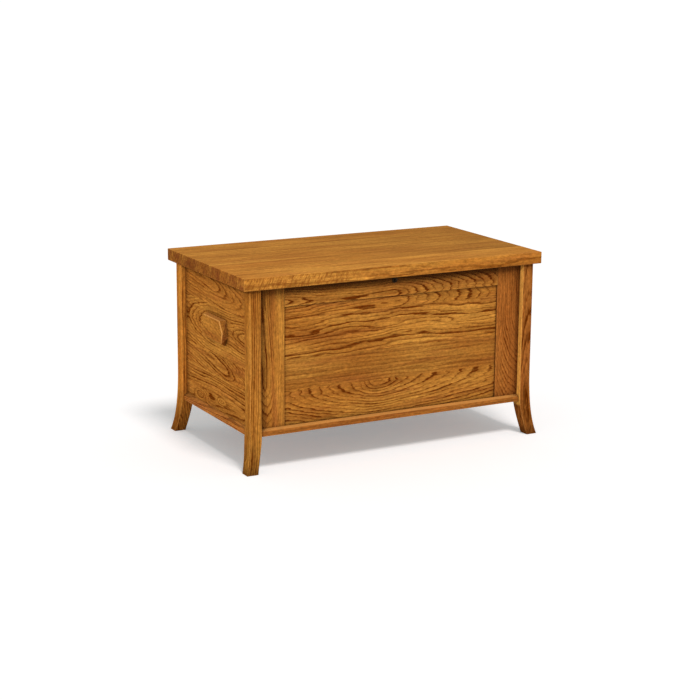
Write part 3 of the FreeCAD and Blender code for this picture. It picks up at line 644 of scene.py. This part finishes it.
def paint_bottom():
    """Cedar boards with small knots, two of them with a strip of sapwood, on poplar cleats and a bearer."""
    for number in range(1, 6):
        name = f"bottom_board_{number}"
        centre = middle_of(name, Y)
        turn = (-1) ** number
        knots = ((-0.31 + 0.13 * number, centre + 0.012 * turn, 0.016, 0.007, 2.6),
                 (0.33 - 0.17 * number, centre - 0.020 * turn, 0.012, 0.005, 2.2))
        cut = Board(heart=centre + 0.03 * turn, deep=((-0.43, 0.012), (0.43, 0.045)), spacing=0.006,
                    eyes=knots, figure=0.6, dark=0.35, shade=1.0 + 0.05 * turn, seed=21.0 + 2.3 * number,
                    sap_and_highlight=(centre + 0.018, centre + 0.034) if number in (2, 5) else None)
        wood(name, (X, Y, Z), [cut], outside=end_of(name, Z, HIGH), kind=CEDAR, painted_shade=0.5)
    for place, axes, seed in (("left", (Y, Z, X), 31.0), ("right", (Y, Z, X), 37.0),
                              ("front", (X, Z, Y), 41.0), ("back", (X, Z, Y), 43.0)):
        wood(f"cleat_{place}", axes, [Board(figure=0.5, seed=seed)], kind=POPLAR, painted_shade=0.4)
    bearer = Board(heart=0.03, deep=0.02, figure=0.5, seed=47.0)
    wood("bottom_bearer", (Y, X, Z), [bearer], kind=POPLAR, painted_shade=0.4)


paint_lid()
paint_front()
paint_back()
for side, sign in SIDES:
    paint_end(side, sign)
paint_bottom()


# ---- metal pieces -----------------------------------------------------------------------------

# Noise fields of metal: waves a metre in each direction, then detail and roughness.
TARNISH = (90.0, 90.0, 90.0), 4.0, 0.6
SCRATCHES = (160.0, 2600.0, 2600.0), 3.0, 0.7
CAST_GRAIN = (2500.0, 2500.0, 2500.0), 2.0


def metal(name, colour, roughness, dull, wear=0.5):
    """An aged metal finish: dull tarnish in patches up to a share of wear, fine scratches and grain."""
    material, t, shader = new_material(name)
    place = t.add("ShaderNodeTexCoord").outputs["Object"]
    scratches = t.noise(place, *SCRATCHES)
    tarnish = t.steps(t.noise(place, *TARNISH), 0.35, 0.65, 0.1, wear)
    tone = t.brighten(t.blend(tarnish, colour, dull), t.about(scratches, 0.3))
    height = t.plus(t.times(scratches, 0.02 * MM), t.times(t.noise(place, *CAST_GRAIN), 0.01 * MM))
    t.put(shader.inputs["Base Color"], tone)
    t.put(shader.inputs["Roughness"], t.plus(roughness, t.times(tarnish, 0.2), t.times(scratches, 0.12)))
    t.put(shader.inputs["Normal"], t.bump(height))
    shader.inputs["Metallic"].default_value = 1.0
    return material


HINGE_METAL = metal("hinge_metal", srgb(176, 142, 84), 0.32, srgb(120, 88, 46))
LOCK_BRASS = metal("lock_brass", srgb(120, 96, 62), 0.36, srgb(70, 50, 30), 0.8)
PLUG_METAL = metal("plug_metal", srgb(58, 44, 32), 0.45, srgb(28, 20, 14), 0.9)
BRONZE = metal("dark_bronze", srgb(66, 50, 36), 0.45, srgb(34, 25, 18), 0.9)
STEEL = metal("lock_steel", srgb(150, 150, 148), 0.34, srgb(104, 98, 90))

for name in nodes:
    if name.startswith("hinge"):
        paint(name, HINGE_METAL)
for name, material in (("lock_tube", BRONZE), ("lock_bolt", LOCK_BRASS), ("lock_strike_plate", LOCK_BRASS),
                       ("lock_plug", PLUG_METAL), ("lock_case", STEEL), ("lock_cam", STEEL)):
    paint(name, material)


# ---- screw heads ------------------------------------------------------------------------------

SCREW_SIZE = 4.0 * MM           # radius of a head
SCREW_FOOT = 0.8                # radius of its lower end, as a share of that
SCREW_PROUD = 0.35 * MM         # height of its rim above the piece
SCREW_CROWN = 1.05 * MM         # height of its middle
SCREW_SINK = 0.4 * MM           # how far the head goes into the piece
SCREW_FLATS = 28                # number of flats round a head
SCREW_STEPS = 5                 # steps from its rim to its middle
SLOT_WIDTH = 1.1 * MM
SLOT_FLOOR = 0.25 * MM          # height of the slot's floor
CUTTER_HEIGHT = 2 * MM          # of the block that cuts the slot
FIRST_TURN = 35                 # degrees that the first slot of a row is turned
NEXT_TURN = 67                  # degrees from each slot to the next

# From the middle of a piece to its outer screws.
HINGE_REACH = 31 * MM
BATTEN_REACH = 155 * MM
HANDLE_REACH = 52 * MM
END_CLEAT_REACH = 111 * MM
WALL_CLEAT_REACH = 289 * MM
STRIKE_REACH = 18.25 * MM
LOCK_REACH = 32.85 * MM

HANDLE_DROP = 29 * MM           # from the top of a handle down to its screws
CLEAT_RISE = 5 * MM             # from the lower edge of a cleat up to its screws
LOCK_HEIGHTS = (499 * MM, 516 * MM)
LOCK_FLANGE = 1.5 * MM          # thickness of the flanges of the lock case


def to_mesh(name, shape):
    """Turns a bmesh into a mesh."""
    mesh = bpy.data.meshes.new(name)
    shape.to_mesh(mesh)
    shape.free()
    return mesh


def whole_head():
    """Oval screw head that stands on z = 0, still without its slot."""
    profile = [(SCREW_SIZE * SCREW_FOOT, -SCREW_SINK), (SCREW_SIZE, SCREW_PROUD)]
    for k in range(1, SCREW_STEPS + 1):
        left = 1 - k / SCREW_STEPS
        profile.append((SCREW_SIZE * left, SCREW_PROUD + (SCREW_CROWN - SCREW_PROUD) * (1 - left ** 2)))
    head = bmesh.new()
    angles = [2 * math.pi * k / SCREW_FLATS for k in range(SCREW_FLATS)]
    loops = [[head.verts.new((radius * math.cos(a), radius * math.sin(a), height)) for a in angles]
             for radius, height in profile[:-1]]
    turns = [(k, (k + 1) % SCREW_FLATS) for k in range(SCREW_FLATS)]
    for low, high in zip(loops, loops[1:]):
        for k, after in turns:
            head.faces.new((low[k], low[after], high[after], high[k]))
    top = head.verts.new((0, 0, SCREW_CROWN))
    for k, after in turns:
        head.faces.new((loops[-1][k], loops[-1][after], top))
    head.faces.new(list(reversed(loops[0])))
    return head


def screw_head():
    """Mesh of one screw head with its slot along x."""
    cutter = bmesh.new()
    size = Matrix.Diagonal((3 * SCREW_SIZE, SLOT_WIDTH, CUTTER_HEIGHT, 1.0))
    bmesh.ops.create_cube(cutter, size=1.0, matrix=size)
    bmesh.ops.translate(cutter, verts=cutter.verts, vec=(0, 0, SLOT_FLOOR + CUTTER_HEIGHT / 2))
    head = add_object("screw_head", to_mesh("screw_head", whole_head()))
    slot = add_object("slot_cutter", to_mesh("slot_cutter", cutter))
    cut = head.modifiers.new("slot", "BOOLEAN")
    cut.operation = "DIFFERENCE"
    cut.object = slot
    bpy.context.view_layer.update()
    done = bpy.data.meshes.new_from_object(head.evaluated_get(bpy.context.evaluated_depsgraph_get()))
    for made in (head, slot):
        bpy.data.objects.remove(made)
    return done


HEAD = screw_head()


def screws(name, body, material, places, facing):
    """One piece of screw heads that sit at places and face along facing."""
    gathered = bmesh.new()
    square = Vector(facing).to_track_quat("Z", "Y").to_matrix().to_4x4()
    for count, place in enumerate(places):
        one = HEAD.copy()
        turned = Matrix.Rotation(math.radians(FIRST_TURN + NEXT_TURN * count), 4, "Z")
        one.transform(Matrix.Translation(Vector(place)) @ square @ turned)
        gathered.from_mesh(one)
        bpy.data.meshes.remove(one)
    mesh = to_mesh(name, gathered)
    mesh.materials.append(material)
    made = add_object(name, mesh)
    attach(made, body)


def hinge_screws(place):
    """Three screws in each leaf of a hinge."""
    case_leaf, lid_leaf, pin = (f"hinge_{place}_{part}" for part in ("case_leaf", "lid_leaf", "pin"))
    across = [middle_of(pin, X) + k * HINGE_REACH for k in (-1, 0, 1)]
    case_z = (end_of(case_leaf, Z, LOW) + end_of(pin, Z, LOW)) / 2
    lid_y = (end_of(lid_leaf, Y, LOW) + end_of(pin, Y, LOW)) / 2
    screws(f"screws_hinge_{place}_case", "chest", HINGE_METAL,
           [(x, end_of(case_leaf, Y, LOW), case_z) for x in across], (0, -1, 0))
    screws(f"screws_hinge_{place}_lid", "lid", HINGE_METAL,
           [(x, lid_y, end_of("lid_slab", Z, LOW)) for x in across], DOWN)


def end_screws(side, sign):
    """Screws of a batten, of a handle, which go in from inside the chest, and of a cleat."""
    batten, handle, cleat = f"lid_batten_{side}", f"handle_{side}", f"cleat_{side}"
    screws(f"screws_batten_{side}", "lid", STEEL,
           [(middle_of(batten, X), k * BATTEN_REACH, end_of(batten, Z, LOW)) for k in (-1, 0, 1)], DOWN)
    inside = end_of(f"end_panel_{side}", X, inner(sign))
    height = end_of(handle, Z, HIGH) - HANDLE_DROP
    screws(f"screws_handle_{side}", "chest", STEEL,
           [(inside, k * HANDLE_REACH, height) for k in (-1, 1)], (-sign, 0, 0))
    inside = end_of(cleat, X, inner(sign))
    height = end_of(cleat, Z, LOW) + CLEAT_RISE
    screws(f"screws_cleat_{side}", "chest", STEEL,
           [(inside, k * END_CLEAT_REACH, height) for k in (-1, 1)], (-sign, 0, 0))


def wall_screws(wall, way):
    """Screws of the cleat on a long wall."""
    cleat = f"cleat_{wall}"
    inside = end_of(cleat, Y, inner(way))
    height = end_of(cleat, Z, LOW) + CLEAT_RISE
    screws(f"screws_cleat_{wall}", "chest", STEEL,
           [(k * WALL_CLEAT_REACH, inside, height) for k in (-1, 1)], (0, -way, 0))


def lock_screws():
    """Screws of the strike plate under the lid and of the flanges of the lock case."""
    strike = (middle_of("lock_strike_plate", Y), end_of("lid_slab", Z, LOW))
    screws("screws_strike", "lid", LOCK_BRASS,
           [(k * STRIKE_REACH, *strike) for k in (-1, 1)], DOWN)
    inside = end_of("lock_case", Y, LOW) + LOCK_FLANGE
    screws("screws_lock", "chest", LOCK_BRASS,
           [(k * LOCK_REACH, inside, height) for k in (-1, 1) for height in LOCK_HEIGHTS], (0, 1, 0))


for place in ("left", "middle", "right"):
    hinge_screws(place)
for side, sign in SIDES:
    end_screws(side, sign)
for wall, way in WALLS:
    wall_screws(wall, way)
lock_screws()


# ---- floor, light and camera ------------------------------------------------------------------

FLOOR_REACH = 60.0                  # from the middle of the floor to its edges
PALE_FLOOR = (1.0, 0.953, 0.94)     # share of the light that the floor gives back
OPEN_FLOOR = 0.76                   # light on the open floor from which on the camera sees it white
SKY = 0.36                          # light from all round, where 1 shows a colour as it is written
TOP_LIGHT = 0.50                    # share of the light that comes down, a little from the front
FRONT_LIGHT = 0.54                  # share that comes from the camera's side

PHOTO_SIZE = 700                    # pixels
PHOTO_FOCAL = 1741                  # pixels
SENSOR = 36.0                       # millimetres
CAMERA_PLACE = (-2.461, -4.493, 1.471)
CAMERA_TURN = (28.58, 13.37, 0.47)  # degrees to the right of straight back, degrees down, and roll
CAMERA_RANGE = 200.0                # how far the camera sees


def seen_directly(t):
    """1 for what the camera sees, straight, in a gloss or through glass, and 0 for the light itself."""
    path = t.add("ShaderNodeLightPath").outputs
    return t.highest(t.highest(path["Is Camera Ray"], path["Is Glossy Ray"]), path["Is Transmission Ray"])


def floor():
    """A floor that looks white in the open and keeps the shadow of the chest."""
    around = ((-1, -1), (1, -1), (1, 1), (-1, 1))
    mesh = bpy.data.meshes.new("floor")
    mesh.from_pydata([(x * FLOOR_REACH, y * FLOOR_REACH, 0) for x, y in around], [], [(0, 1, 2, 3)])
    plane = add_object("floor", mesh)
    material, t = bare_material("floor_white")
    diffuse = t.add("ShaderNodeBsdfDiffuse")
    diffuse.inputs["Color"].default_value = (*PALE_FLOOR, 1.0)
    glow = t.add("ShaderNodeEmission")
    glow.inputs["Color"].default_value = (*(1 - OPEN_FLOOR * share for share in PALE_FLOOR), 1.0)
    t.put(glow.inputs["Strength"], seen_directly(t))
    both = t.fill(t.add("ShaderNodeAddShader"), diffuse.outputs[0], glow.outputs[0])
    t.put(t.add("ShaderNodeOutputMaterial").inputs["Surface"], both)
    mesh.materials.append(material)
    return plane


def world():
    """Even light from all round, which the camera sees as white."""
    made = bpy.data.worlds.new("studio")
    bpy.context.scene.world = made
    made.use_nodes = True
    made.node_tree.nodes.clear()
    t = Tree(made.node_tree)
    background = t.add("ShaderNodeBackground")
    background.inputs["Color"].default_value = (1.0, 1.0, 1.0, 1.0)
    t.put(background.inputs["Strength"], t.lerp(seen_directly(t), SKY, 1.0))
    t.put(t.add("ShaderNodeOutputWorld").inputs["Surface"], background.outputs[0])


def lamp(name, azimuth, elevation, share, spread):
    """A far soft light. Azimuth 0 is in front of the chest and 90 on its left; angles in degrees."""
    data = bpy.data.lights.new(name, "SUN")
    data.energy = share * math.pi
    data.angle = math.radians(spread)
    turn, rise = math.radians(azimuth), math.radians(elevation)
    towards = Vector((-math.sin(turn) * math.cos(rise), -math.cos(turn) * math.cos(rise), math.sin(rise)))
    made = add_object(name, data)
    made.rotation_euler = towards.to_track_quat("Z", "Y").to_euler()
    return made


def keep_off(light, thing):
    """Leaves thing out of what light shines on, so that the light throws no shadow on it."""
    left_out = bpy.data.collections.new(f"{light.name}_leaves_out")
    left_out.objects.link(thing)
    left_out.collection_objects[0].light_linking.link_state = "EXCLUDE"
    light.light_linking.receiver_collection = left_out


def camera():
    """The camera that was fitted to the edges of the chest in the photograph."""
    yaw, pitch, roll = (math.radians(angle) for angle in CAMERA_TURN)
    ahead = Vector((math.sin(yaw) * math.cos(pitch), math.cos(yaw) * math.cos(pitch), -math.sin(pitch)))
    right = Vector((math.cos(yaw), -math.sin(yaw), 0.0))
    up = right.cross(ahead)
    level = right * math.cos(roll) + up * math.sin(roll)
    upright = up * math.cos(roll) - right * math.sin(roll)
    data = bpy.data.cameras.new("camera")
    data.sensor_width = SENSOR
    data.lens = PHOTO_FOCAL / PHOTO_SIZE * SENSOR
    data.clip_end = CAMERA_RANGE
    made = add_object("camera", data)
    turn = Matrix((level, upright, -ahead)).transposed().to_4x4()
    made.matrix_world = Matrix.Translation(Vector(CAMERA_PLACE)) @ turn
    bpy.context.scene.camera = made


ground = floor()
world()
lamp("top_light", azimuth=0, elevation=64, share=TOP_LIGHT, spread=16)
front_light = lamp("front_light", azimuth=54, elevation=26, share=FRONT_LIGHT, spread=9)
keep_off(front_light, ground)
camera()
bpy.context.scene.view_settings.view_transform = "Standard"
